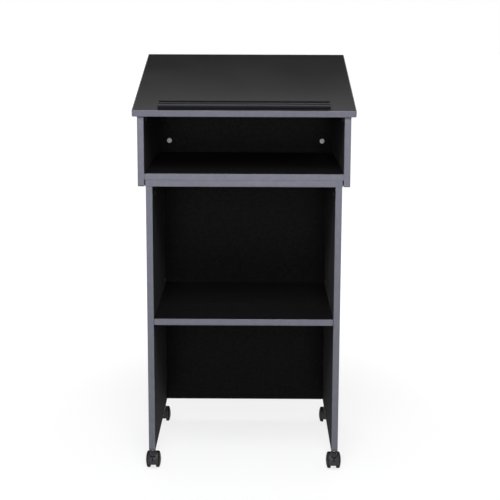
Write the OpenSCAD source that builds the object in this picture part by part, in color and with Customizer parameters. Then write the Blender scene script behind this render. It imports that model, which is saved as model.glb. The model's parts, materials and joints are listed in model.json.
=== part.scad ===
// Mobile lectern: a sloping reading board over an open upper compartment, on a cabinet
// with one shelf and a back panel, carried by four hooded twin-wheel casters.
// The front faces -Y, X runs to the right and Z = 0 is the floor. All sizes are in mm.

/* [Reading board] */
// Width of the reading board
board_width = 614; // [600:1:700]
// Length of the reading board, measured along its slope
board_length = 560; // [520:1:640]
// Slope of the reading board in degrees
board_slope = 13.5; // [8:0.5:18]
// Height of the board's front top edge above the floor
board_front_height = 1045; // [1020:1:1120]

/* [Panels] */
// Thickness of every laminated panel
panel_t = 18; // [16:0.5:18.5]
// Thickness of the plastic edge bands
edge_t = 2; // [1:0.5:3]
// Corner radius of the boards that lie flat
board_corner_r = 4; // [3.5:0.5:8]
// Corner radius at the feet of the side panels
foot_corner_r = 9; // [4:0.5:14]

/* [Upper compartment] */
// How far the board stands out past each upper side panel
board_overhang = 13.5; // [8:0.5:20]
// Height of the upper floor's top surface above the floor
upper_floor_height = 870; // [820:1:900]
// Distance from the board's front edge back to the panels below it
front_inset = 10; // [4:1:20]
// Distance from the board's rear edge forward to the upper side panels
rear_inset = 13; // [6:1:30]

/* [Cabinet] */
// Gap between the cabinet top and each upper side panel
top_gap = 2; // [0.5:0.5:4]
// Depth of the lower side panels, front to back
cabinet_depth = 460; // [430:1:470]
// How far the cabinet top stands out past each side panel
top_overhang = 2; // [0:0.5:2]
// Height of the shelf's top surface above the floor
shelf_height = 457; // [300:1:600]
// Gap between the loose shelf and the panels round it
shelf_gap = 1; // [0.5:0.5:3]
// Height of the back panel's bottom edge above the feet of the side panels
back_lift = 4; // [0:1:60]

/* [Book stop tray] */
// Length of the tray across the board
tray_length = 471; // [380:1:540]
// Distance from the board's front edge to the tray's foot
tray_inset = 2; // [1:0.5:20]
// Depth of the tray's foot, front to rear
tray_depth = 46; // [42:1:60]
// Height of the tray's front lip above the board
tray_lip_h = 20.5; // [18:0.5:24]
// How far the front lip leans out past the tray's foot
tray_lean = 5; // [2:0.5:7]
// Height of the tray's rear rim above the board
tray_rim_h = 15; // [13:0.5:18]
// Thickness of the tray's floor
tray_wall = 3; // [2.5:0.5:4]
// Number of screws that hold the tray
tray_screw_count = 4; // [2:1:6]

/* [Casters] */
// Diameter of the caster wheels
wheel_d = 48; // [46:1:50]
// Width of one wheel, hood side to outer face
wheel_w = 13.5; // [11:0.5:14]
// Rise of the wheel's domed outer face
wheel_dome = 4.5; // [2:0.5:5]
// Height from the floor to the feet of the side panels
caster_height = 64; // [64:1:70]
// Distance from the swivel axis back to the wheel axle
caster_trail = 18; // [17:0.5:19]
// Distance from the panel's front edge to the front swivel axis
front_stem_inset = 26; // [22:1:50]
// Distance from the panel's rear edge to the rear swivel axis
rear_stem_inset = 36; // [24:1:60]
// Width of the hood's fender across both wheels
fender_w = 31; // [28:0.5:34]
// Thickness of the web between the wheels
web_t = 15.6; // [14:0.2:16]
// Diameter of the swivel stem
stem_d = 8; // [7:0.5:8]
// Diameter of the wheel axle
axle_d = 6; // [5:0.5:7]

/* [Joining hardware] */
// Diameter of the cam locks
cam_d = 15; // [12:1:15]
// Distance from a panel's edge to the middle of its cam lock
cam_reach = 34; // [30:1:40]
// Diameter of the wooden dowels
dowel_d = 8; // [6:1:8]
// Length of the wooden dowels
dowel_l = 30; // [24:1:30]
// Diameter of the wood screws
screw_d = 4; // [3:0.5:4.5]

/* [Hidden] */
$fn = 48;

laminate = [0.13, 0.13, 0.135];
band_grey = [0.48, 0.48, 0.52];
moulding = [0.12, 0.12, 0.13];
zinc = [0.66, 0.68, 0.68];
steel = [0.6, 0.6, 0.62];
beech = [0.76, 0.6, 0.42];

eps = 1; // cutters reach this far past the faces that they cut
fit = 0.1; // radial clearance of a piece that stays put in its hole
running = 0.05; // radial clearance of a shaft that turns

// Places of the panels, from the driving sizes
upper_width = board_width - 2 * board_overhang;
board_run = board_length * cos(board_slope);
tray_lip_r = 8;
lip_back = 2; // how far the lip goes on behind the top of its rounding
tray_rim_r = 2;
trough_r = 9;
lip_y = tray_inset - tray_lean + tray_lip_r;
lip_h = tray_lip_h - tray_lip_r;
lip_reach = max(0, lip_h * sin(board_slope) + tray_lip_r - lip_y * cos(board_slope));
front_y = (lip_reach - board_run - panel_t * sin(board_slope)) / 2;
upper_front_y = front_y + front_inset;
upper_rear_y = front_y + board_run - rear_inset;
upper_inner_x = upper_width / 2 - panel_t;
joint_z = upper_floor_height - panel_t;
cabinet_top_z = joint_z - panel_t;
cabinet_rear_y = upper_front_y + cabinet_depth;
cabinet_width = 2 * (upper_inner_x - top_gap - top_overhang);
cabinet_inner_x = cabinet_width / 2 - panel_t;
back_rear_y = cabinet_rear_y + panel_t;
side_mid_x = (cabinet_width - panel_t) / 2;
back_bottom_z = caster_height + back_lift;
shelf_under_z = shelf_height - panel_t;

function board_under_z(y) =
    board_front_height - panel_t / cos(board_slope) + (y - front_y) * tan(board_slope);

// Cam locks: depth of the pocket, and how far each row of locks is from its panel's edges
cam_depth = 12.5;
cam_sunk = 0.3;
cam_slot_w = 1.8;
cam_slot_l = 9;
cam_slot_deep = 2.5;
bolt_thread_d = 5;
bolt_thread_l = 11;
bolt_shank_d = 4.4;
bolt_head_d = 6.4;
bolt_head_l = 3;
bolt_collar_l = 3;
bolt_channel_d = 8;
bolt_chamfer = 1;
bolt_stop = 2; // how far the bolt's end is from the middle of its lock
bolt_end = cam_reach - bolt_stop;
board_lock_inset = 80;
upper_back_lock_low = 36;
upper_back_lock_high = 60;
floor_lock_inset = 72;
side_lock_inset = 96;
back_lock_rise = 13; // how far the back panel's locks are above the shelf
top_dowel_inset = 44;
rear_dowel_inset = 90;
back_dowel_x = 150;
dowel_chamfer = 1;
joining_screw_x = 180;
joining_screw_inset = 84;
screw_head_d = 2 * screw_d;
screw_head_h = (screw_head_d - screw_d) / 2;
screw_tip = 0.5;
joining_screw_bite = 12;
joining_screw_l = panel_t + joining_screw_bite;
tray_screw_l = 14;

// Shelf supports: a pin in the side panel and a tab under the shelf
support_pin_d = 5;
support_pin_l = 9;
support_tab_w = 13;
support_tab_l = 10;
support_tab_t = 1.8;
support_inset = 62;
support_root = 0.3; // how far the pin reaches into its tab

// Casters
wheel_gap = 0.5;
wheel_inner_x = web_t / 2 + wheel_gap;
hub_r = 6.5;
rim_t = 4.5;
rim_inner_r = wheel_d / 2 - rim_t;
rim_edge = 1.5;
tread_chamfer = 1;
wheel_face_t = 5.5;
wheel_hollow = wheel_w - wheel_face_t;
face_groove_inset = 3;
face_groove_r = rim_inner_r - face_groove_inset;
face_groove_w = 1.2;
face_groove_floor = 1.6; // thickness that the groove leaves over the hollow
axle_end_gap = 0.3;
axle_cover = 2.5; // wall of the wheel over the axle's end
axle_reach = wheel_inner_x + wheel_w - axle_cover;
rib_count = 6;
rib_t = 1.6;
rib_root = 0.5; // how far a rib reaches into the hub and the rim
rib_inset = 0.6;
fender_gap = 1.2;
fender_inner_r = wheel_d / 2 + fender_gap;
fender_t = 2.8;
fender_outer_r = fender_inner_r + fender_t;
fender_crown_r = 60; // radius of the fender's crown across its width
web_step = 4; // degrees by which the web stops short of the fender's ends
fender_low = -18; // degrees above the horizontal where the fender starts in front
fender_high = 68; // and where it ends over the wheels
web_rise = 0.5; // how far the web stands out past the wheels
web_r = wheel_d / 2 + web_rise;
web_high = 150; // degrees where the web between the wheels ends at the rear
axle_boss_wall = 5;
axle_boss_r = axle_d / 2 + axle_boss_wall;
boss_d = 18;
boss_drop = 6;
boss_top_z = caster_height - boss_drop;
boss_chamfer = 2;
boss_edge_y = sqrt(pow(boss_d / 2, 2) - pow(web_t / 2, 2));
boss_gap = 1; // height of the wide boss above the wheels at its front edge
boss_wide_z = wheel_d / 2 + sqrt(pow(wheel_d / 2, 2) - pow(caster_trail - boss_edge_y, 2)) + boss_gap;
stem_rise = 36;
stem_top_z = caster_height + stem_rise;
stem_chamfer = 0.8;
stem_groove_inset = 7;
stem_groove_w = 3;
stem_hole_spare = 0.5;
collar_d = 13;
collar_gap = 0.4;
socket_wall = 1;
socket_flange_t = 1;
socket_depth = 38;
slot_w = 14.6;
slot_h = 3.2;
slot_deep = 8;
slot_z = 39.5;
slot_roof = 1.9; // wall between the recess and the stem's hole
keyhole_z = 29.5;
keyhole_d = 5;
stem_hole_z = slot_z + slot_h / 2 + slot_roof;
stem_low_z = stem_hole_z + stem_hole_spare;
neck_z = stem_hole_z - slot_roof / 2;

front_stem_y = upper_front_y + front_stem_inset;
rear_stem_y = cabinet_rear_y - rear_stem_inset;

// The board's own frame: X across, Y up the slope from the front top edge, Z out of the board
module on_board() {
    translate([0, front_y, board_front_height]) rotate([board_slope, 0, 0]) children();
}

// Extrudes an outline drawn as (Y, Z) towards +X
module along_x(x, t) {
    translate([x, 0, 0]) rotate([90, 0, 90]) linear_extrude(t) children();
}

// Extrudes an outline drawn as (X, Z) from y back to y + t
module along_y(y, t) {
    translate([0, y + t, 0]) rotate([90, 0, 0]) linear_extrude(t) children();
}

module both_sides() {
    children();
    mirror([1, 0, 0]) children();
}

// What lies outside a round corner at (x, y), whose body is towards (sx, sy)
module corner_waste(x, y, sx, sy, r) {
    difference() {
        translate([min(x - sx * eps, x + sx * r), min(y - sy * eps, y + sy * r)]) square(r + eps);
        translate([x + sx * r, y + sy * r]) circle(r);
    }
}

// A rectangle with four round corners
module rounded_outline(x0, y0, x1, y1, r) {
    difference() {
        translate([x0, y0]) square([x1 - x0, y1 - y0]);
        corner_waste(x0, y0, 1, 1, r);
        corner_waste(x1, y0, -1, 1, r);
        corner_waste(x0, y1, 1, -1, r);
        corner_waste(x1, y1, -1, -1, r);
    }
}

// The same, drawn in from the edges by the band's thickness
module banded_core(x0, y0, x1, y1, r) {
    rounded_outline(x0 + edge_t, y0 + edge_t, x1 - edge_t, y1 - edge_t, r - edge_t);
}

module board_outline() {
    rounded_outline(-board_width / 2, 0, board_width / 2, board_length, board_corner_r);
}

module board_core_outline() {
    banded_core(-board_width / 2, 0, board_width / 2, board_length, board_corner_r);
}

// The space that the board takes, carried far up and past its edges
module board_space() {
    on_board() translate([-board_width, -board_length, -panel_t])
        cube([2 * board_width, 3 * board_length, board_length]);
}

// Side view of an upper side panel, drawn in from its front, foot and rear by inset and
// carried up into the board's space by spare
module upper_side_outline(inset, r, spare = 0) {
    y0 = upper_front_y + inset;
    y1 = upper_rear_y - inset;
    z0 = cabinet_top_z + inset;
    z1 = board_under_z(upper_rear_y) + panel_t + spare;
    difference() {
        translate([y0, z0]) square([y1 - y0, z1 - z0]);
        corner_waste(y0, z0, 1, 1, r);
        corner_waste(y1, z0, -1, 1, r);
    }
}

// Side view of a lower side panel, drawn in from its front and foot by inset and carried
// past its rear and top edges by spare
module lower_side_outline(inset, r, spare = 0) {
    y0 = upper_front_y + inset;
    z0 = caster_height + inset;
    difference() {
        translate([y0, z0]) square([cabinet_rear_y + spare - y0, cabinet_top_z + spare - z0]);
        corner_waste(y0, z0, 1, 1, r);
    }
}

module cabinet_top_outline(inset, r) {
    x1 = cabinet_width / 2 + top_overhang - inset;
    rounded_outline(-x1, upper_front_y + inset, x1, back_rear_y - inset, r);
}

// Rear view of the back panel, drawn in from its two sides and its foot by inset and
// carried past its top edge by spare
module back_outline(inset, spare = 0) {
    x1 = cabinet_width / 2 - inset;
    z0 = back_bottom_z + inset;
    translate([-x1, z0]) square([2 * x1, cabinet_top_z + spare - z0]);
}

// Joints of the right half. In each, the origin is on the joint face at the middle of the
// panel's thickness, X runs into the panel that holds the lock and Z to that lock's open face.
module board_joints() {
    for (s = [board_lock_inset, board_length - board_lock_inset])
        on_board() translate([upper_width / 2 - panel_t / 2, s, -panel_t])
            rotate([0, 90, 0]) rotate([180, 0, 0]) children();
}

module upper_back_joints() {
    top_z = board_under_z(upper_rear_y - panel_t) - upper_back_lock_high;
    for (z = [upper_floor_height + upper_back_lock_low, top_z])
        translate([upper_inner_x, upper_rear_y - panel_t / 2, z]) rotate([-90, 0, 180]) children();
}

module floor_joints() {
    for (y = [upper_front_y + floor_lock_inset, upper_rear_y - floor_lock_inset])
        translate([upper_inner_x, y, upper_floor_height - panel_t / 2]) rotate([0, 180, 0]) children();
}

module side_top_joint() {
    translate([side_mid_x, upper_front_y + side_lock_inset, cabinet_top_z])
        rotate([0, 90, 0]) rotate([180, 0, 0]) children();
}

module side_back_joint() {
    translate([side_mid_x, cabinet_rear_y, shelf_height + back_lock_rise]) rotate([90, 0, -90]) children();
}

// Dowels stand along X of their own frame, half in each panel
module side_top_dowels() {
    for (y = [upper_front_y + top_dowel_inset, cabinet_rear_y - rear_dowel_inset])
        translate([side_mid_x, y, cabinet_top_z]) rotate([0, 90, 0]) children();
}

module side_back_dowels() {
    for (z = [caster_height + rear_dowel_inset, cabinet_top_z - rear_dowel_inset])
        translate([side_mid_x, cabinet_rear_y, z]) rotate([0, 0, 90]) children();
}

module back_top_dowels() {
    translate([back_dowel_x, cabinet_rear_y + panel_t / 2, cabinet_top_z]) rotate([0, 90, 0]) children();
}

module joining_screw_places() {
    for (y = [upper_front_y + joining_screw_inset, back_rear_y - joining_screw_inset])
        translate([joining_screw_x, y, cabinet_top_z]) children();
}

// Screws in the tray start at its floor and point down into the board
module tray_screw_places() {
    pitch = tray_length / tray_screw_count;
    for (i = [0 : tray_screw_count - 1])
        on_board() translate([(i + 0.5) * pitch - tray_length / 2, tray_inset + tray_depth / 2, tray_wall])
            mirror([0, 0, 1]) children();
}

module support_places() {
    for (y = [upper_front_y + support_inset, cabinet_rear_y - support_inset])
        translate([cabinet_inner_x, y, shelf_under_z]) children();
}

module stem_places() {
    for (y = [front_stem_y, rear_stem_y]) translate([side_mid_x, y, 0]) children();
}

// Hole for a lock and its bolt, in the panel that holds the lock
module lock_void() {
    translate([cam_reach, 0, panel_t / 2 - cam_depth]) cylinder(d = cam_d, h = cam_depth + eps);
    translate([-eps, 0, 0]) rotate([0, 90, 0]) cylinder(d = bolt_channel_d, h = cam_reach + eps);
}

// Hole for the bolt's thread, in the facing panel
module thread_void() {
    translate([eps, 0, 0]) rotate([0, -90, 0])
        cylinder(d = bolt_thread_d + 2 * fit, h = bolt_thread_l + 2 * fit + eps);
}

// Hole for one dowel, which reaches into both panels
module dowel_void() {
    rotate([0, 90, 0]) cylinder(d = dowel_d + 2 * fit, h = dowel_l + 2 * fit, center = true);
}

// Hole for a countersunk screw of that length, which points up from its head
module screw_void(length) {
    translate([0, 0, -eps]) cylinder(d = screw_d + 2 * fit, h = length + fit + eps);
    translate([0, 0, -fit])
        cylinder(d1 = screw_head_d + 2 * fit, d2 = screw_d + 2 * fit, h = screw_head_h + fit);
}

module cam_lock() {
    height = cam_depth - cam_sunk;
    mouth_w = bolt_head_d + 4 * fit;
    mouth_h = cam_depth - panel_t / 2 + mouth_w / 2;
    translate([cam_reach, 0, panel_t / 2 - cam_depth]) difference() {
        cylinder(d = cam_d - 2 * fit, h = height);
        // cross slot for the screwdriver
        for (a = [0, 90])
            rotate(a) translate([-cam_slot_l / 2, -cam_slot_w / 2, height - cam_slot_deep])
                cube([cam_slot_l, cam_slot_w, cam_slot_deep + eps]);
        // mouth that takes the bolt's head
        translate([-cam_d, -mouth_w / 2, -eps]) cube([cam_d + bolt_head_l, mouth_w, mouth_h + eps]);
    }
}

module cam_bolt() {
    thread_r = bolt_thread_d / 2;
    collar_r = bolt_channel_d / 2 - fit;
    shank_r = bolt_shank_d / 2;
    head_r = bolt_head_d / 2;
    neck = bolt_end - bolt_head_l;
    rotate([0, 90, 0]) rotate_extrude() polygon([
        [0, -bolt_thread_l], [thread_r - bolt_chamfer, -bolt_thread_l],
        [thread_r, bolt_chamfer - bolt_thread_l], [thread_r, 0],
        [collar_r, 0], [collar_r, bolt_collar_l], [shank_r, bolt_collar_l + bolt_chamfer],
        [shank_r, neck], [head_r, neck], [head_r, bolt_end - bolt_chamfer],
        [head_r - bolt_chamfer, bolt_end], [0, bolt_end]
    ]);
}

module dowel() {
    r = dowel_d / 2;
    h = dowel_l / 2;
    c = dowel_chamfer;
    rotate([0, 90, 0]) rotate_extrude() polygon([
        [0, -h], [r - c, -h], [r, c - h], [r, h - c], [r - c, h], [0, h]
    ]);
}

// A countersunk screw that points up from its head
module screw(length) {
    r = screw_d / 2;
    rotate_extrude() polygon([
        [0, fit], [screw_head_d / 2 - fit, fit], [r, screw_head_h + fit],
        [r, length - r], [screw_tip, length], [0, length]
    ]);
}

module reading_board() {
    color(laminate) difference() {
        on_board() translate([0, 0, -panel_t]) linear_extrude(panel_t) board_core_outline();
        both_sides() board_joints() thread_void();
        tray_screw_places() screw_void(tray_screw_l);
    }
}

module reading_board_edge_band() {
    color(band_grey) on_board() translate([0, 0, -panel_t]) linear_extrude(panel_t) difference() {
        board_outline();
        board_core_outline();
    }
}

// Section of the tray in the board's frame: a rounded front lip that leans out, a trough
// for pens and a rear rim that stops the book
module tray_section() {
    rear = tray_inset + tray_depth;
    rim_h = tray_rim_h - tray_rim_r;
    difference() {
        union() {
            polygon([
                [tray_inset, 0], [rear, 0], [rear, rim_h], [lip_y, lip_h], [lip_y - tray_lip_r, lip_h]
            ]);
            translate([lip_y, lip_h]) circle(tray_lip_r);
            translate([rear - tray_rim_r, rim_h]) circle(tray_rim_r);
        }
        rounded_outline(lip_y + lip_back, tray_wall, rear - 2 * tray_rim_r, 3 * tray_lip_h, trough_r);
    }
}

module book_stop_tray() {
    color(moulding) difference() {
        on_board() along_x(-tray_length / 2, tray_length) tray_section();
        tray_screw_places() screw_void(tray_screw_l);
    }
}

module tray_screws() {
    color(steel) tray_screw_places() screw(tray_screw_l);
}

module upper_side() {
    color(laminate) difference() {
        along_x(upper_inner_x, panel_t) upper_side_outline(edge_t, board_corner_r - edge_t);
        board_space();
        board_joints() lock_void();
        upper_back_joints() thread_void();
        floor_joints() thread_void();
    }
}

module upper_side_band() {
    color(band_grey) difference() {
        along_x(upper_inner_x, panel_t) difference() {
            upper_side_outline(0, board_corner_r);
            upper_side_outline(edge_t, board_corner_r - edge_t, eps);
        }
        board_space();
    }
}

module upper_floor() {
    color(laminate) difference() {
        translate([-upper_inner_x, upper_front_y + edge_t, joint_z])
            cube([2 * upper_inner_x, upper_rear_y - upper_front_y - 2 * edge_t, panel_t]);
        both_sides() floor_joints() lock_void();
        both_sides() joining_screw_places() screw_void(joining_screw_l);
    }
}

module upper_floor_edge_bands() {
    color(band_grey) for (y = [upper_front_y, upper_rear_y - edge_t])
        translate([-upper_inner_x, y, joint_z]) cube([2 * upper_inner_x, edge_t, panel_t]);
}

module upper_back_panel() {
    top_z = board_under_z(upper_rear_y) + panel_t;
    color(laminate) difference() {
        translate([-upper_inner_x, upper_rear_y - panel_t, upper_floor_height])
            cube([2 * upper_inner_x, panel_t, top_z - upper_floor_height]);
        board_space();
        both_sides() upper_back_joints() lock_void();
    }
}

module cabinet_top() {
    color(laminate) difference() {
        translate([0, 0, cabinet_top_z]) linear_extrude(panel_t)
            cabinet_top_outline(edge_t, board_corner_r - edge_t);
        both_sides() side_top_joint() thread_void();
        both_sides() side_top_dowels() dowel_void();
        both_sides() back_top_dowels() dowel_void();
        both_sides() joining_screw_places() screw_void(joining_screw_l);
    }
}

module cabinet_top_edge_band() {
    color(band_grey) translate([0, 0, cabinet_top_z]) linear_extrude(panel_t) difference() {
        cabinet_top_outline(0, board_corner_r);
        cabinet_top_outline(edge_t, board_corner_r - edge_t);
    }
}

module lower_side() {
    color(laminate) difference() {
        along_x(cabinet_inner_x, panel_t) lower_side_outline(edge_t, foot_corner_r - edge_t);
        side_top_joint() lock_void();
        side_back_joint() lock_void();
        side_top_dowels() dowel_void();
        side_back_dowels() dowel_void();
        support_places() support_void();
        stem_places() socket_void();
    }
}

module lower_side_band() {
    color(band_grey) difference() {
        along_x(cabinet_inner_x, panel_t) difference() {
            lower_side_outline(0, foot_corner_r);
            lower_side_outline(edge_t, foot_corner_r - edge_t, eps);
        }
        stem_places() socket_void();
    }
}

module back_panel() {
    color(laminate) difference() {
        along_y(cabinet_rear_y, panel_t) back_outline(edge_t);
        both_sides() side_back_joint() thread_void();
        both_sides() side_back_dowels() dowel_void();
        both_sides() back_top_dowels() dowel_void();
    }
}

module back_panel_edge_band() {
    color(band_grey) along_y(cabinet_rear_y, panel_t) difference() {
        back_outline(0);
        back_outline(edge_t, eps);
    }
}

module shelf() {
    x1 = cabinet_inner_x - shelf_gap;
    y0 = upper_front_y + edge_t;
    color(laminate) translate([-x1, y0, shelf_under_z])
        cube([2 * x1, cabinet_rear_y - shelf_gap - y0, panel_t]);
}

module shelf_edge_band() {
    x1 = cabinet_inner_x - shelf_gap;
    color(band_grey) translate([-x1, upper_front_y, shelf_under_z]) cube([2 * x1, edge_t, panel_t]);
}

module support_void() {
    translate([-eps, 0, -support_tab_t - support_pin_d / 2])
        rotate([0, 90, 0]) cylinder(d = support_pin_d + 2 * fit, h = support_pin_l + fit + eps);
}

module shelf_support() {
    half = support_tab_w / 2;
    translate([-support_root, 0, -support_tab_t - support_pin_d / 2]) rotate([0, 90, 0])
        cylinder(d = support_pin_d, h = support_pin_l + support_root);
    translate([-support_tab_l, -half, -support_tab_t]) cube([support_tab_l, support_tab_w, support_tab_t]);
    translate([-support_tab_t, -half, -support_tab_w]) cube([support_tab_t, support_tab_w, support_tab_w]);
}

module shelf_supports() {
    color(zinc) both_sides() support_places() shelf_support();
}

module cam_locks() {
    color(zinc) both_sides() {
        board_joints() cam_lock();
        upper_back_joints() cam_lock();
        floor_joints() cam_lock();
        side_top_joint() cam_lock();
        side_back_joint() cam_lock();
    }
}

module cam_bolts() {
    color(steel) both_sides() {
        board_joints() cam_bolt();
        upper_back_joints() cam_bolt();
        floor_joints() cam_bolt();
        side_top_joint() cam_bolt();
        side_back_joint() cam_bolt();
    }
}

module dowels() {
    color(beech) both_sides() {
        side_top_dowels() dowel();
        side_back_dowels() dowel();
        back_top_dowels() dowel();
    }
}

module joining_screws() {
    color(steel) both_sides() joining_screw_places() screw(joining_screw_l);
}

// Hole in a side panel's foot for a caster's socket
module socket_void() {
    translate([0, 0, caster_height - eps])
        cylinder(d = stem_d + 2 * (running + socket_wall + fit), h = socket_depth + fit + eps);
}

module caster_sockets() {
    flange_z = caster_height - socket_flange_t;
    color(zinc) both_sides() stem_places() difference() {
        union() {
            translate([0, 0, caster_height])
                cylinder(d = stem_d + 2 * (running + socket_wall), h = socket_depth);
            translate([0, 0, flange_z]) cylinder(d = collar_d, h = socket_flange_t);
        }
        translate([0, 0, flange_z - eps])
            cylinder(d = stem_d + 2 * running, h = socket_depth + eps);
    }
}

module caster_stems() {
    r = stem_d / 2;
    c = stem_chamfer;
    collar_low = boss_top_z + collar_gap;
    collar_top = caster_height - socket_flange_t;
    groove = stem_top_z - stem_groove_inset;
    color(steel) both_sides() stem_places() rotate_extrude() polygon([
        [0, stem_low_z], [r - c, stem_low_z], [r, stem_low_z + c], [r, collar_low],
        [collar_d / 2, collar_low], [collar_d / 2, collar_top], [r, collar_top],
        [r, groove - c], [r - c, groove], [r - c, groove + stem_groove_w], [r, groove + stem_groove_w + c],
        [r, stem_top_z - c], [r - c, stem_top_z], [0, stem_top_z]
    ]);
}

// The caster's own frame: the swivel axis is at X = Y = 0 and Z = 0 is the floor
module at_axle() {
    translate([0, caster_trail, wheel_d / 2]) children();
}

// A sector round the axle, drawn as (Y, Z), from low to high in degrees above the front
module front_sector(low, high) {
    far = 4 * wheel_d;
    middle = (low + high) / 2;
    polygon([
        [0, 0], [-far * cos(low), far * sin(low)],
        [-far * cos(middle), far * sin(middle)], [-far * cos(high), far * sin(high)]
    ]);
}

// Side view of the web between the wheels, drawn as (Y, Z) round the axle
module web_outline() {
    intersection() {
        circle(web_r);
        front_sector(fender_low + web_step, web_high);
    }
    intersection() {
        circle(fender_inner_r + fender_t / 2);
        front_sector(fender_low + web_step, fender_high - web_step);
    }
    circle(axle_boss_r);
}

// Section of the fender: radius across, width along the axle
module fender_section() {
    half = fender_w / 2;
    intersection() {
        polygon([
            [fender_inner_r, -half], [fender_outer_r, -half],
            [fender_outer_r, half], [fender_inner_r, half]
        ]);
        translate([fender_outer_r - fender_crown_r, 0]) circle(fender_crown_r, $fn = 180);
    }
}

module fender() {
    rotate([90, 0, 90]) rotate(180 - fender_high)
        rotate_extrude(angle = fender_high - fender_low) fender_section();
}

// Keyhole-shaped recess in the front of the hood, drawn as (X, Z)
module keyhole_outline() {
    translate([-slot_w / 2, slot_z - slot_h / 2]) square([slot_w, slot_h]);
    translate([-slot_h / 2, keyhole_z]) square([slot_h, slot_z - keyhole_z]);
    translate([0, keyhole_z]) circle(d = keyhole_d);
}

// The stem's boss is wide above the wheels and narrows between them
module stem_boss() {
    translate([0, 0, boss_wide_z]) cylinder(d = boss_d, h = boss_top_z - boss_chamfer - boss_wide_z);
    translate([0, 0, boss_top_z - boss_chamfer])
        cylinder(d1 = boss_d, d2 = boss_d - 2 * boss_chamfer, h = boss_chamfer);
    intersection() {
        translate([0, 0, neck_z]) cylinder(d = boss_d, h = boss_wide_z + eps - neck_z);
        translate([-web_t / 2, -boss_d, 0]) cube([web_t, 2 * boss_d, caster_height]);
    }
}

module caster_hood() {
    front = caster_trail - fender_outer_r;
    color(moulding) difference() {
        union() {
            at_axle() along_x(-web_t / 2, web_t) web_outline();
            at_axle() fender();
            stem_boss();
        }
        at_axle() rotate([0, 90, 0]) cylinder(d = axle_d + 2 * fit, h = 2 * web_t, center = true);
        translate([0, 0, stem_hole_z]) cylinder(d = stem_d + 2 * running, h = caster_height);
        along_y(front - eps, slot_deep + fender_t + eps) keyhole_outline();
    }
}

module caster_axle() {
    color(steel) at_axle() rotate([0, 90, 0]) cylinder(d = axle_d, h = 2 * axle_reach, center = true);
}

// Section of a wheel: radius across, width from the hood outwards
module wheel_section() {
    r = wheel_d / 2;
    dome_r = (r * r + wheel_dome * wheel_dome) / (2 * wheel_dome);
    shoulder = wheel_w - wheel_dome - rim_edge;
    difference() {
        intersection() {
            polygon([
                [0, 0], [r - tread_chamfer, 0], [r, tread_chamfer],
                [r, shoulder], [r - rim_edge, shoulder + rim_edge], [r - rim_edge, wheel_w], [0, wheel_w]
            ]);
            translate([0, wheel_w - dome_r]) circle(dome_r, $fn = 180);
        }
        translate([hub_r, -eps]) square([rim_inner_r - hub_r, wheel_hollow + eps]);
        // shadow line round the wheel's face
        translate([face_groove_r, wheel_hollow + face_groove_floor]) square([face_groove_w, wheel_w]);
        translate([-eps, -eps])
            square([axle_d / 2 + running + eps, axle_reach - wheel_inner_x + axle_end_gap + eps]);
    }
}

module caster_wheel() {
    color(moulding) at_axle() translate([wheel_inner_x, 0, 0]) rotate([0, 90, 0]) {
        rotate_extrude() wheel_section();
        for (i = [0 : rib_count - 1])
            rotate(i * 360 / rib_count) translate([hub_r - rib_root, -rib_t / 2, rib_inset])
                cube([rim_inner_r - hub_r + 2 * rib_root, rib_t, wheel_hollow]);
    }
}

// side is -1 on the left and 1 on the right
module caster_place(side, y) {
    translate([side * side_mid_x, y, 0]) children();
}

module outer_wheel(side, y) {
    caster_place(side, y) mirror([side < 0 ? 1 : 0, 0, 0]) caster_wheel();
}

module inner_wheel(side, y) {
    caster_place(side, y) mirror([side > 0 ? 1 : 0, 0, 0]) caster_wheel();
}

reading_board();
reading_board_edge_band();
book_stop_tray();
tray_screws();
mirror([1, 0, 0]) upper_side();  // upper_left_side
upper_side();  // upper_right_side
mirror([1, 0, 0]) upper_side_band();  // upper_left_edge_band
upper_side_band();  // upper_right_edge_band
upper_floor();
upper_floor_edge_bands();
upper_back_panel();
cabinet_top();
cabinet_top_edge_band();
mirror([1, 0, 0]) lower_side();  // left_side
lower_side();  // right_side
mirror([1, 0, 0]) lower_side_band();  // left_side_edge_band
lower_side_band();  // right_side_edge_band
back_panel();
back_panel_edge_band();
shelf();
shelf_edge_band();
shelf_supports();
cam_locks();
cam_bolts();
dowels();
joining_screws();
caster_sockets();
caster_stems();
caster_place(-1, front_stem_y) caster_hood();  // front_left_hood
caster_place(-1, front_stem_y) caster_axle();  // front_left_axle
outer_wheel(-1, front_stem_y);  // front_left_outer_wheel
inner_wheel(-1, front_stem_y);  // front_left_inner_wheel
caster_place(1, front_stem_y) caster_hood();  // front_right_hood
caster_place(1, front_stem_y) caster_axle();  // front_right_axle
outer_wheel(1, front_stem_y);  // front_right_outer_wheel
inner_wheel(1, front_stem_y);  // front_right_inner_wheel
caster_place(-1, rear_stem_y) caster_hood();  // rear_left_hood
caster_place(-1, rear_stem_y) caster_axle();  // rear_left_axle
outer_wheel(-1, rear_stem_y);  // rear_left_outer_wheel
inner_wheel(-1, rear_stem_y);  // rear_left_inner_wheel
caster_place(1, rear_stem_y) caster_hood();  // rear_right_hood
caster_place(1, rear_stem_y) caster_axle();  // rear_right_axle
outer_wheel(1, rear_stem_y);  // rear_right_outer_wheel
inner_wheel(1, rear_stem_y);  // rear_right_inner_wheel
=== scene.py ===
"""Mobile lectern: finishes, small rounded edges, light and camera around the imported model.

Lengths are in metres, and colours are linear red, green and blue.
"""

import json
import math

import bmesh
import bpy
from mathutils import Matrix, Vector


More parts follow.
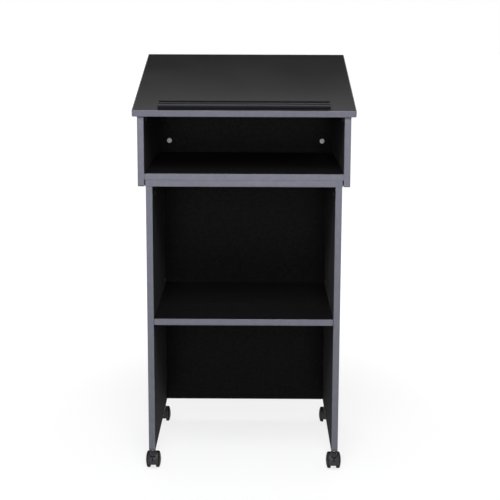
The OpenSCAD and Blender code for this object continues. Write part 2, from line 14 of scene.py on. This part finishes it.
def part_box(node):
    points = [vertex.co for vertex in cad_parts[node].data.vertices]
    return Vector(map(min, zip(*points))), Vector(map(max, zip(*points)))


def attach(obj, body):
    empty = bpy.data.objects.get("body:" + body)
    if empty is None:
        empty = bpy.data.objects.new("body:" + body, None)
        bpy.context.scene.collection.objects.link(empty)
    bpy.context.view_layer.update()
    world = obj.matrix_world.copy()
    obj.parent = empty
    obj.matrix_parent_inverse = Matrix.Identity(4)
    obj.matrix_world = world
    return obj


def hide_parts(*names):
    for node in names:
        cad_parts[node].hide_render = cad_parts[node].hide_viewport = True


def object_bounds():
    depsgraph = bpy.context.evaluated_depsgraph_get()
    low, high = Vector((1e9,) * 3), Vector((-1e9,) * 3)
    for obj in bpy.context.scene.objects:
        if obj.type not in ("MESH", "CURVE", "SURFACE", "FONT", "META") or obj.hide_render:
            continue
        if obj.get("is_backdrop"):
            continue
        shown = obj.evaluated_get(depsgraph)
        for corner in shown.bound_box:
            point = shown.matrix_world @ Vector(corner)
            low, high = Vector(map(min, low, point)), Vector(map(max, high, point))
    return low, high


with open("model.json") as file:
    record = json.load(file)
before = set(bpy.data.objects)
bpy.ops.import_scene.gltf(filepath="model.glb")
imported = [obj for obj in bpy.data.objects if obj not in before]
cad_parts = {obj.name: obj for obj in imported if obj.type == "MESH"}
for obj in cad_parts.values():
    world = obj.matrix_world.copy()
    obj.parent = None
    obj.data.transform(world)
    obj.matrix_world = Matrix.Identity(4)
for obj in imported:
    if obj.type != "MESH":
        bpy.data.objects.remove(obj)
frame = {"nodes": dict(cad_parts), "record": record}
cad_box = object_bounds()

MM = 0.001

# Boards, each with the edge bands that lie round it
BOARDS = {
    "reading_board": ["reading_board_edge_band"],
    "upper_left_side": ["upper_left_edge_band"],
    "upper_right_side": ["upper_right_edge_band"],
    "upper_floor": ["upper_floor_edge_bands"],
    "upper_back_panel": [],
    "cabinet_top": ["cabinet_top_edge_band"],
    "left_side": ["left_side_edge_band"],
    "right_side": ["right_side_edge_band"],
    "back_panel": ["back_panel_edge_band"],
    "shelf": ["shelf_edge_band"],
}


def add_object(name, data):
    thing = bpy.data.objects.new(name, data)
    bpy.context.scene.collection.objects.link(thing)
    return thing


def scaled(colour, factor):
    return tuple(channel * factor for channel in colour)


def ramp(tree, value, start, stop, low, high, curve="LINEAR"):
    """A number that runs from low to high as value runs from start to stop."""
    node = tree.nodes.new("ShaderNodeMapRange")
    node.interpolation_type = curve
    numbers = {"From Min": start, "From Max": stop, "To Min": low, "To Max": high}
    for name, number in numbers.items():
        node.inputs[name].default_value = number
    tree.links.new(value, node.inputs["Value"])
    return node.outputs[0]


# Materials

NOISE_LOW, NOISE_HIGH = 0.3, 0.7  # most of a noise texture's values lie between these


class Nodes:
    """A material's node tree, with short calls for the few nodes that the finishes use."""

    def __init__(self, name):
        self.material = bpy.data.materials.new(name)
        self.material.use_nodes = True
        self.tree = self.material.node_tree
        self.tree.nodes.clear()
        self.output = self.tree.nodes.new("ShaderNodeOutputMaterial")
        self.place = self.tree.nodes.new("ShaderNodeTexCoord").outputs["Object"]

    def add(self, kind, **inputs):
        """A new node. The input Base_Color is its Base Color socket, and so on."""
        node = self.tree.nodes.new(kind)
        for name, value in inputs.items():
            self.give(node, name.replace("_", " "), value)
        return node

    def give(self, node, name, value):
        """Links an input to another node's socket, or sets the input's own value."""
        if isinstance(value, bpy.types.NodeSocket):
            self.tree.links.new(value, node.inputs[name])
        else:
            node.inputs[name].default_value = value

    def noise(self, size, detail=2.0, stretch=(1.0, 1.0, 1.0)):
        """Noise whose lumps are about size across, and longer where stretch is below 1."""
        mapping = self.add("ShaderNodeMapping", Vector=self.place, Scale=stretch)
        node = self.add(
            "ShaderNodeTexNoise", Vector=mapping.outputs[0], Scale=1 / size, Detail=detail)
        return node.outputs["Fac"]

    def between(self, factor, low, high, start=NOISE_LOW, stop=NOISE_HIGH):
        """A number that runs from low to high as factor runs from start to stop."""
        return ramp(self.tree, factor, start, stop, low, high)

    def blend(self, factor, first, second):
        """A colour that runs from first to second over most of the noise's values."""
        colours = self.add("ShaderNodeValToRGB", Fac=factor)
        ends = colours.color_ramp.elements
        ends[0].position, ends[1].position = NOISE_LOW, NOISE_HIGH
        ends[0].color, ends[1].color = (*first, 1), (*second, 1)
        return colours.outputs["Color"]

    def shades(self, factor, colour, darkest, lightest):
        """A colour that varies between two multiples of itself."""
        return self.blend(factor, scaled(colour, darkest), scaled(colour, lightest))

    def total(self, first, second):
        node = self.add("ShaderNodeMath")
        for socket, value in zip(node.inputs, (first, second)):
            self.tree.links.new(value, socket)
        return node.outputs[0]

    def bump(self, height, depth, normal=None):
        """Relief of about depth, on top of the relief in normal."""
        node = self.add("ShaderNodeBump", Height=height, Distance=depth, Strength=1.0)
        if normal is not None:
            self.give(node, "Normal", normal)
        return node.outputs["Normal"]

    def shader(self, colour, roughness, normal, **sockets):
        """The finished material."""
        node = self.add(
            "ShaderNodeBsdfPrincipled",
            Base_Color=colour, Roughness=roughness, Normal=normal, **sockets)
        self.tree.links.new(node.outputs[0], self.output.inputs["Surface"])
        return self.material


# Colours. Those with two ends vary between them
LAMINATE_BLACK = (0.0068, 0.0065, 0.0065), (0.0118, 0.0112, 0.0112)
EXTRUSION_BLACK = (0.005, 0.005, 0.0068), (0.0068, 0.0068, 0.009)
BEECH = (0.42, 0.26, 0.13), (0.6, 0.42, 0.25)
BAND_GREY = (0.188, 0.191, 0.232)
ZINC = (0.4, 0.42, 0.42)
STEEL = (0.56, 0.56, 0.58)
HOOD_BLACK = (0.039, 0.037, 0.044)
WHEEL_BLACK = (0.0042, 0.0042, 0.0046)

# The laminate turns dull between these, where 0 is seen head-on and 1 along the surface. The
# camera sees the reading board at 0.68 to 0.73, where the gloss has to stay even
GRAZE_START, GRAZE_STOP = 0.75, 0.95


def laminate_finish():
    """Black melamine: a fine pearl grain, a faint cloudiness and a soft gloss."""
    m = Nodes("laminate_black")
    pearl = m.noise(1.1 * MM, detail=2)
    cloud = m.noise(120 * MM, detail=0)
    mottle = m.noise(7 * MM, detail=1)
    colour = m.blend(mottle, *LAMINATE_BLACK)
    relief = m.bump(cloud, depth=0.15 * MM, normal=m.bump(pearl, depth=0.012 * MM))
    graze = m.add("ShaderNodeLayerWeight", Blend=0.5).outputs["Facing"]
    rough = m.total(
        m.between(cloud, low=0.22, high=0.28, start=0, stop=1),
        m.between(graze, low=0, high=0.65, start=GRAZE_START, stop=GRAZE_STOP))
    return m.shader(
        colour, rough, relief, Specular_IOR_Level=0.045, Sheen_Weight=0.08, Sheen_Roughness=0.1)


def band_finish():
    """Grey plastic edge band: a fine matt grain and a faint mottle."""
    m = Nodes("band_grey")
    grain = m.noise(0.45 * MM, detail=3)
    mottle = m.noise(14 * MM, detail=4)
    colour = m.shades(mottle, BAND_GREY, darkest=0.94, lightest=1.06)
    rough = m.between(grain, low=0.46, high=0.56)
    relief = m.bump(grain, depth=0.012 * MM)
    return m.shader(colour, rough, relief, Specular_IOR_Level=0.25)


def extrusion_finish():
    """Black extruded plastic: faint lines along its length and a fine grain."""
    m = Nodes("extrusion_black")
    lines = m.noise(0.6 * MM, detail=2, stretch=(0.004, 1, 1))
    grain = m.noise(0.8 * MM, detail=3)
    mottle = m.noise(20 * MM)
    colour = m.blend(mottle, *EXTRUSION_BLACK)
    rough = m.between(grain, low=0.16, high=0.22)
    relief = m.bump(lines, depth=0.006 * MM, normal=m.bump(grain, depth=0.002 * MM))
    return m.shader(colour, rough, relief, Specular_IOR_Level=0.125)


def metal_finish(name, colour, smoothest, roughest):
    """Dull cast or plated metal with small blotches."""
    m = Nodes(name)
    blotch = m.noise(1.6 * MM, detail=4)
    mottle = m.noise(3 * MM, detail=3)
    tone = m.shades(mottle, colour, darkest=0.88, lightest=1)
    rough = m.between(blotch, low=smoothest, high=roughest)
    relief = m.bump(blotch, depth=0.02 * MM)
    return m.shader(tone, rough, relief, Metallic=1.0)


def beech_finish():
    """Beech with a fine grain along the dowels."""
    m = Nodes("beech")
    grain = m.noise(0.8 * MM, detail=4, stretch=(1, 1, 0.1))
    colour = m.blend(grain, *BEECH)
    rough = m.between(grain, low=0.5, high=0.65)
    relief = m.bump(grain, depth=0.05 * MM)
    return m.shader(colour, rough, relief)


def nylon_finish(name, colour, grain_size, smoothest, roughest, gloss):
    """Moulded nylon: a spark-eroded grain and a satin sheen that varies."""
    m = Nodes(name)
    grain = m.noise(grain_size, detail=4)
    mottle = m.noise(6 * MM, detail=3)
    tone = m.shades(mottle, colour, darkest=0.88, lightest=1.1)
    wear = m.noise(9 * MM, detail=3)
    rough = m.between(wear, low=smoothest, high=roughest)
    relief = m.bump(grain, depth=0.02 * MM)
    return m.shader(tone, rough, relief, Specular_IOR_Level=gloss)


# The finish of each of the record's material slots
FINISHES = {
    "laminate": laminate_finish(),
    "edge_band": band_finish(),
    "black_extrusion": extrusion_finish(),
    "zinc": metal_finish("zinc_cast", ZINC, smoothest=0.3, roughest=0.46),
    "steel": metal_finish("steel_plated", STEEL, smoothest=0.22, roughest=0.36),
    "beech": beech_finish(),
    "hood_plastic": nylon_finish(
        "nylon_hood", HOOD_BLACK, grain_size=0.5 * MM, smoothest=0.38, roughest=0.5, gloss=0.32),
    "wheel_plastic": nylon_finish(
        "nylon_wheel", WHEEL_BLACK, grain_size=0.7 * MM, smoothest=0.36, roughest=0.5, gloss=0.09),
}


def finish_nodes():
    """Gives every carried-over node the finish of its material slot."""
    for part in frame["record"]["subparts"]:
        thing = frame["nodes"][part["node"]]
        thing.data.materials.clear()
        thing.data.materials.append(FINISHES[part["material_slot"]])


# Rounded edges

BOARD_ROUNDING = 1.2 * MM
TRAY_ROUNDING = 0.8 * MM
SEAM = 0.12  # share of the rounding that the seam between a board and its band gets
WELD_GAP = 0.002 * MM  # corners nearer to each other than this are one
FLAT_ANGLE = math.radians(0.5)  # faces that meet at less than this are one
SHARP_ANGLE = math.radians(30)  # edges that turn more than this may be rounded
LONG_EDGE = 0.1  # only the edges that run along the tray are longer


def body_with(node):
    for body, nodes in frame["record"]["behaviour"]["bodies"].items():
        if node in nodes:
            return body
    raise ValueError(node)


def slot_of(node):
    return next(p["material_slot"] for p in frame["record"]["subparts"] if p["node"] == node)


def centre_of(node):
    low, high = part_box(node)
    return (low + high) / 2


def clean_mesh(node):
    """A node's mesh with its flat faces joined up, ready for rounding."""
    bm = bmesh.new()
    bm.from_mesh(frame["nodes"][node].data)
    bmesh.ops.remove_doubles(bm, verts=bm.verts, dist=WELD_GAP)
    bmesh.ops.dissolve_limit(bm, angle_limit=FLAT_ANGLE, verts=bm.verts, edges=bm.edges)
    bm.normal_update()
    return bm


def rounded_copy(node, weigh, radius, segments=3):
    """Shows a copy of a node with rounded edges in its place.

    weigh gives each sharp edge its share of the radius.
    """
    bm = clean_mesh(node)
    weights = bm.edges.layers.float.new("bevel_weight_edge")
    for edge in bm.edges:
        if len(edge.link_faces) == 2 and edge.calc_face_angle() > SHARP_ANGLE:
            edge[weights] = weigh(edge)
            edge.smooth = edge[weights] > 0
    mesh = bpy.data.meshes.new(node + "_rounded")
    bm.to_mesh(mesh)
    bm.free()
    for old in ("custom_normal", "sharp_face"):
        if old in mesh.attributes:
            mesh.attributes.remove(mesh.attributes[old])
    for face in mesh.polygons:
        face.use_smooth = True
    mesh.materials.append(FINISHES[slot_of(node)])
    piece = add_object(node + "_rounded", mesh)
    bevel = piece.modifiers.new("rounding", "BEVEL")
    bevel.limit_method = "WEIGHT"
    bevel.width = radius
    bevel.segments = segments
    bevel.harden_normals = True
    slot_of(node)
    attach(piece, body_with(node))
    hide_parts(node)


def outer_edges(middle):
    """Shares for a band: a seam where a face looks at middle, and full rounding elsewhere."""
    def weigh(edge):
        inner = any(
            face.normal.dot(face.calc_center_median() - middle) < 0 for face in edge.link_faces)
        return SEAM if inner else 1.0

    return weigh


def round_boards():
    """Boards get a fine seam round them, and their bands a rounded outer edge."""
    for board, bands in BOARDS.items():
        rounded_copy(board, lambda edge: SEAM, BOARD_ROUNDING, segments=2)
        for band in bands:
            rounded_copy(band, outer_edges(centre_of(board)), BOARD_ROUNDING)


def round_tray():
    """The tray's long edges are drawn soft, as an extrusion's are."""
    def long_edge(edge):
        return 1.0 if edge.calc_length() > LONG_EDGE else 0.0

    rounded_copy("book_stop_tray", long_edge, TRAY_ROUNDING)


# The photograph's camera, fitted to the panels' edges: metres and degrees, from the middle
# of the reading board's front top edge for x and y, and from the floor for z
CAMERA_X = 0.0348
CAMERA_BACK = 3.2723
CAMERA_Z = 1.3269
CAMERA_YAW = -0.308
CAMERA_DOWN = 10.493
CAMERA_ROLL = 0.202
FOCAL_PIXELS = 1201.1
IMAGE_PIXELS = 500
AXIS_ROW = 228  # image row that the camera's axis meets
SENSOR_WIDTH = 36  # millimetres


def add_camera():
    data = bpy.data.cameras.new("camera")
    data.sensor_width = SENSOR_WIDTH
    data.lens = FOCAL_PIXELS / IMAGE_PIXELS * SENSOR_WIDTH
    data.shift_y = (AXIS_ROW - IMAGE_PIXELS / 2) / IMAGE_PIXELS
    camera = add_object("camera", data)
    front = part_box("reading_board_edge_band")[0].y
    yaw, down, roll = (math.radians(a) for a in (CAMERA_YAW, CAMERA_DOWN, CAMERA_ROLL))
    aim = Vector((
        math.sin(yaw) * math.cos(down), math.cos(yaw) * math.cos(down), -math.sin(down)))
    level = Vector((math.cos(yaw), -math.sin(yaw), 0))
    upright = level.cross(aim)
    right = level * math.cos(roll) + upright * math.sin(roll)
    turn = Matrix((right, right.cross(aim), -aim)).transposed()
    camera.matrix_world = Matrix.LocRotScale(
        Vector((CAMERA_X, front - CAMERA_BACK, CAMERA_Z)), turn.to_quaternion(), None)
    bpy.context.scene.camera = camera


# Floor and surroundings

FLOOR_HALF = 30
FLOOR_BOUNCE = 0.12  # the grey of the floor as things round it see it
FLOOR_GREY = 0.3  # the grey of the floor that is shown, under its glow
NEAR_GLOW_PAINTED_SHADE = 0.78  # the floor's glow round the object, dimmed there as painted shade so that its shadow shows
FAR_GLOW = 1.0  # the floor's own brightness further off, where it is white
GLOW_START, GLOW_STOP = 0.4, 1.8  # distances from the middle over which the painted shade fades and the glow grows
LIT_LEVEL = 0.2  # what the surroundings give to dull surfaces
HORIZON_LEVEL = 1.0  # the white surroundings that are shown
CEILING_LEVEL = 0.06  # the dim ceiling that glossy surfaces see overhead
CEILING_RISE = math.radians(5)  # how far over the horizon the ceiling starts


def seen_directly(tree):
    """1 for camera, glossy and transmission rays and 0 for the light that falls on things."""
    path = tree.nodes.new("ShaderNodeLightPath")
    total = path.outputs["Is Camera Ray"]
    for name in ("Is Glossy Ray", "Is Transmission Ray"):
        add = tree.nodes.new("ShaderNodeMath")
        add.operation = "MAXIMUM"
        tree.links.new(total, add.inputs[0])
        tree.links.new(path.outputs[name], add.inputs[1])
        total = add.outputs[0]
    return total


def show_or_light(tree, shown, lit, output):
    """Puts out shown for what is seen directly, and lit for the light that falls on things."""
    mix = tree.nodes.new("ShaderNodeMixShader")
    tree.links.new(seen_directly(tree), mix.inputs[0])
    tree.links.new(lit.outputs[0], mix.inputs[1])
    tree.links.new(shown.outputs[0], mix.inputs[2])
    tree.links.new(mix.outputs[0], output.inputs["Surface"])


def add_floor():
    """A pale floor that shows white far off, with painted shade round the object where its glow is
    dimmed, and the object's soft shadow on it.
    """
    corners = [(-1, -1), (1, -1), (1, 1), (-1, 1)]
    mesh = bpy.data.meshes.new("floor")
    mesh.from_pydata([(x * FLOOR_HALF, y * FLOOR_HALF, 0) for x, y in corners], [], [(0, 1, 2, 3)])
    material = bpy.data.materials.new("floor_white")
    material.use_nodes = True
    tree = material.node_tree
    tree.nodes.clear()
    output = tree.nodes.new("ShaderNodeOutputMaterial")
    lit, grey = (tree.nodes.new("ShaderNodeBsdfDiffuse") for _ in range(2))
    for shader, level in ((lit, FLOOR_BOUNCE), (grey, FLOOR_GREY)):
        shader.inputs["Color"].default_value = (level, level, level, 1)
    place = tree.nodes.new("ShaderNodeTexCoord")
    distance = tree.nodes.new("ShaderNodeVectorMath")
    distance.operation = "LENGTH"
    tree.links.new(place.outputs["Object"], distance.inputs[0])
    # Painted shade: the floor's glow is dimmer round the object than further off, though no lamp
    # makes it darker there
    strength = ramp(
        tree, distance.outputs["Value"], GLOW_START, GLOW_STOP, NEAR_GLOW_PAINTED_SHADE, FAR_GLOW, "SMOOTHSTEP")
    glow = tree.nodes.new("ShaderNodeEmission")
    tree.links.new(strength, glow.inputs["Strength"])
    shown = tree.nodes.new("ShaderNodeAddShader")
    tree.links.new(grey.outputs[0], shown.inputs[0])
    tree.links.new(glow.outputs[0], shown.inputs[1])
    show_or_light(tree, shown, lit, output)
    mesh.materials.append(material)
    floor = add_object("floor", mesh)
    floor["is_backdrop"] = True


def add_world():
    """White surroundings as the camera, glossy and clear surfaces see them, with a dim ceiling."""
    world = bpy.data.worlds.new("studio")
    world.use_nodes = True
    tree = world.node_tree
    tree.nodes.clear()
    output = tree.nodes.new("ShaderNodeOutputWorld")
    coordinates = tree.nodes.new("ShaderNodeTexCoord")
    split = tree.nodes.new("ShaderNodeSeparateXYZ")
    tree.links.new(coordinates.outputs["Generated"], split.inputs[0])
    strength = ramp(
        tree, split.outputs["Z"], 0.0, math.sin(CEILING_RISE), HORIZON_LEVEL, CEILING_LEVEL,
        "SMOOTHSTEP")
    lit, shown = (tree.nodes.new("ShaderNodeBackground") for _ in range(2))
    lit.inputs["Color"].default_value = shown.inputs["Color"].default_value = (1, 1, 1, 1)
    lit.inputs["Strength"].default_value = LIT_LEVEL
    tree.links.new(strength, shown.inputs["Strength"])
    show_or_light(tree, shown, lit, output)
    bpy.context.scene.world = world


# Lamps

UPPER_PART = (0, 0, 0.8)  # where the lamps in front point
READING_BOARD = (0, 0, 1.1)  # where the rear lamp points, whose reflection the board shows
WHITE = (1, 1, 1)
COOL_WHITE = (0.97, 0.985, 1)
FAINTLY_COOL_WHITE = (0.98, 0.99, 1)


def add_softbox(name, place, target, width, height, power, tint=WHITE):
    """A rectangular lamp of so many watts."""
    data = bpy.data.lights.new(name, "AREA")
    data.shape = "RECTANGLE"
    data.size = width
    data.size_y = height
    data.energy = power
    data.color = tint
    lamp = add_object(name, data)
    lamp.location = place
    lamp.rotation_euler = (Vector(target) - Vector(place)).to_track_quat("-Z", "Y").to_euler()


def add_lights():
    add_softbox(
        "key", (0, -1.9, 2.6), UPPER_PART, width=1.1, height=1.5, power=51, tint=COOL_WHITE)
    add_softbox("front", (0, -3.9, 1.5), UPPER_PART, width=1.6, height=1.0, power=31)
    for name, x in (("left", -2.3), ("right", 2.3)):
        add_softbox(
            name, (x, -2.5, 1.3), UPPER_PART, width=1.0, height=1.0, power=5,
            tint=FAINTLY_COOL_WHITE)
    add_softbox("rear", (0, 1.35, 2.46), READING_BOARD, width=1.8, height=0.5, power=10.2)


finish_nodes()
round_boards()
round_tray()
add_camera()
add_floor()
add_world()
add_lights()
bpy.context.scene.view_settings.view_transform = "Standard"

boxes = {"cad": cad_box, "visual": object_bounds()}
{name: [list(corner) for corner in box] for name, box in boxes.items()}
